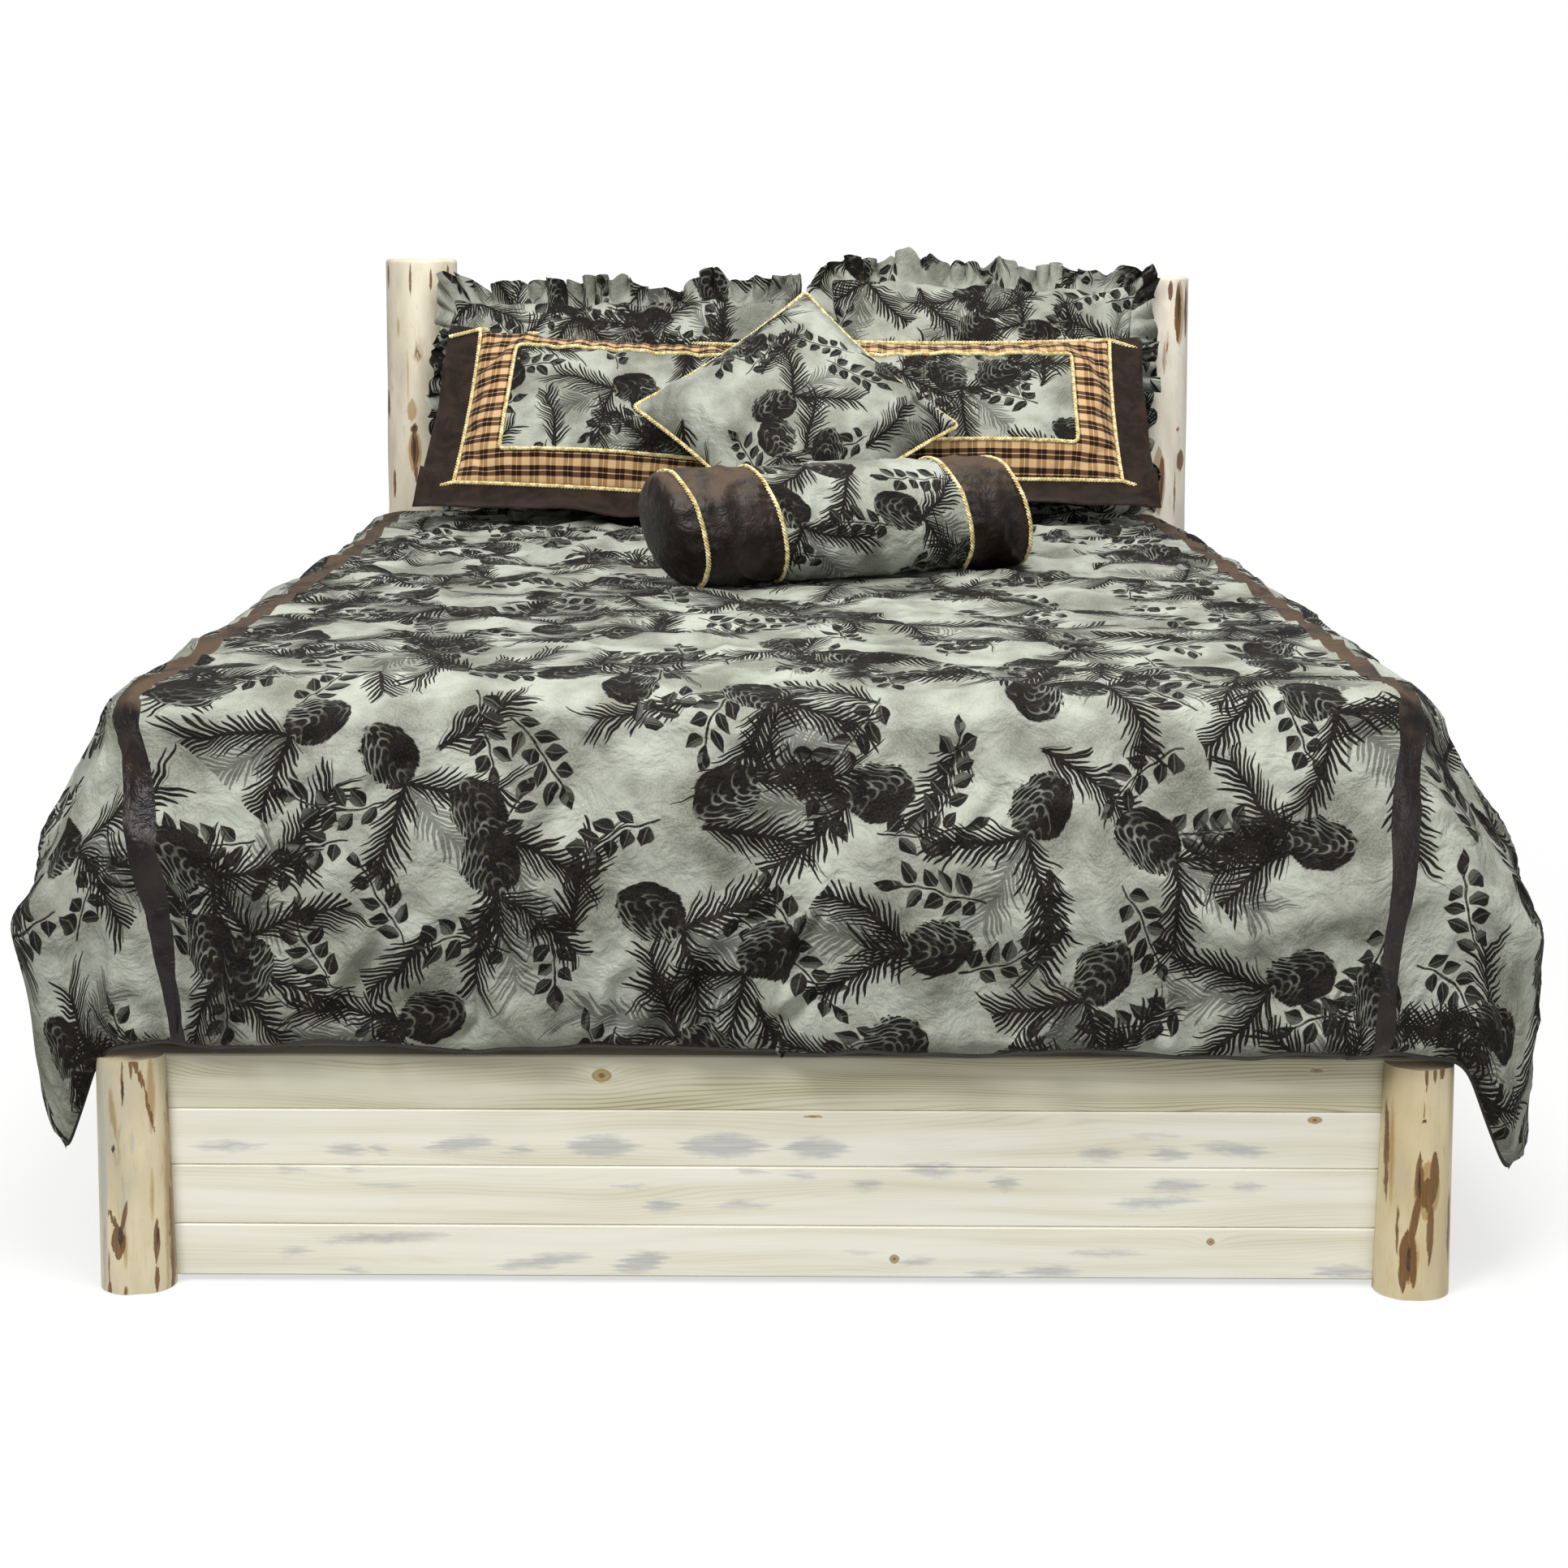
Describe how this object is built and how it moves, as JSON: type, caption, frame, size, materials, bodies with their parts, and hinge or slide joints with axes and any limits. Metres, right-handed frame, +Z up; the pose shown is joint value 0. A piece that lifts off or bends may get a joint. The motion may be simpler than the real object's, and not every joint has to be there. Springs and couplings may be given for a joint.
{
  "type": "rustic log bed",
  "caption": "Rustic queen bed: peeled-log head posts, low plank footboard with half-log ends, side rails and slats, dressed with comforter, shams, corner cushion and neck roll.",
  "frame": {"origin": "on the floor, under the middle of the bed's bounding box", "axes": "+X to the right seen from the foot, +Y towards the head, +Z up"},
  "size_m": [1.9496, 2.27, 1.287],
  "materials": {
    "peeled_log": "peeled, clear satin, with brown cambium patches",
    "pine_board": "sawn blue-stained pine, clear satin",
    "frame_pine": "planed, unfinished",
    "zinc_steel": "zinc plated",
    "glide_nylon": "moulded",
    "box_spring_cover": "woven",
    "mattress_ticking": "woven",
    "print_cotton": "printed cotton with cones and needle sprigs"
  },
  "bodies": {
    "bed": {"foot_log_left": "peeled_log", "foot_log_right": "peeled_log", "foot_board_bottom": "pine_board", "foot_board_lower": "pine_board", "foot_board_upper": "pine_board", "foot_board_top": "pine_board", "log_screws": "zinc_steel", "foot_corner_block_left": "frame_pine", "foot_corner_block_right": "frame_pine", "rail_bolts": "zinc_steel", "rail_bolt_nuts": "zinc_steel", "rail_bolt_washers": "zinc_steel", "head_post_left": "peeled_log", "head_post_right": "peeled_log", "head_board_1": "pine_board", "head_board_2": "pine_board", "head_board_3": "pine_board", "head_board_4": "pine_board", "head_board_5": "pine_board", "head_board_6": "pine_board", "head_batten_left": "pine_board", "head_batten_right": "pine_board", "batten_screws": "zinc_steel", "head_crossrail": "frame_pine", "bed_bolts": "zinc_steel", "barrel_nuts": "zinc_steel", "side_rail_left": "frame_pine", "side_rail_right": "frame_pine", "slat_cleat_left": "frame_pine", "slat_cleat_right": "frame_pine", "slats": "frame_pine", "slat_screws": "zinc_steel", "centre_beam": "frame_pine", "beam_hangers": "zinc_steel", "support_leg_foot": "frame_pine", "support_leg_middle": "frame_pine", "support_leg_head": "frame_pine", "tee_nuts": "zinc_steel", "box_spring": "box_spring_cover", "mattress": "mattress_ticking", "comforter": "print_cotton", "plaid_sham_left": "print_cotton", "ruffled_sham_left": "print_cotton", "plaid_sham_right": "print_cotton", "ruffled_sham_right": "print_cotton", "square_cushion": "print_cotton", "neck_roll": "print_cotton", "sham_ruffle_left": "print_cotton", "sham_ruffle_right": "print_cotton"},
    "glide_foot": {"glide_foot": "glide_nylon"},
    "glide_middle": {"glide_middle": "glide_nylon"},
    "glide_head": {"glide_head": "glide_nylon"}
  },
  "joints": [
    {"name": "glide_foot_screw", "type": "slide", "parent": "bed", "child": "glide_foot", "axis": [0, 0, 1], "range_m": [0, 0.008]},
    {"name": "glide_middle_screw", "type": "slide", "parent": "bed", "child": "glide_middle", "axis": [0, 0, 1], "range_m": [0, 0.008]},
    {"name": "glide_head_screw", "type": "slide", "parent": "bed", "child": "glide_head", "axis": [0, 0, 1], "range_m": [0, 0.008]}
  ]
}
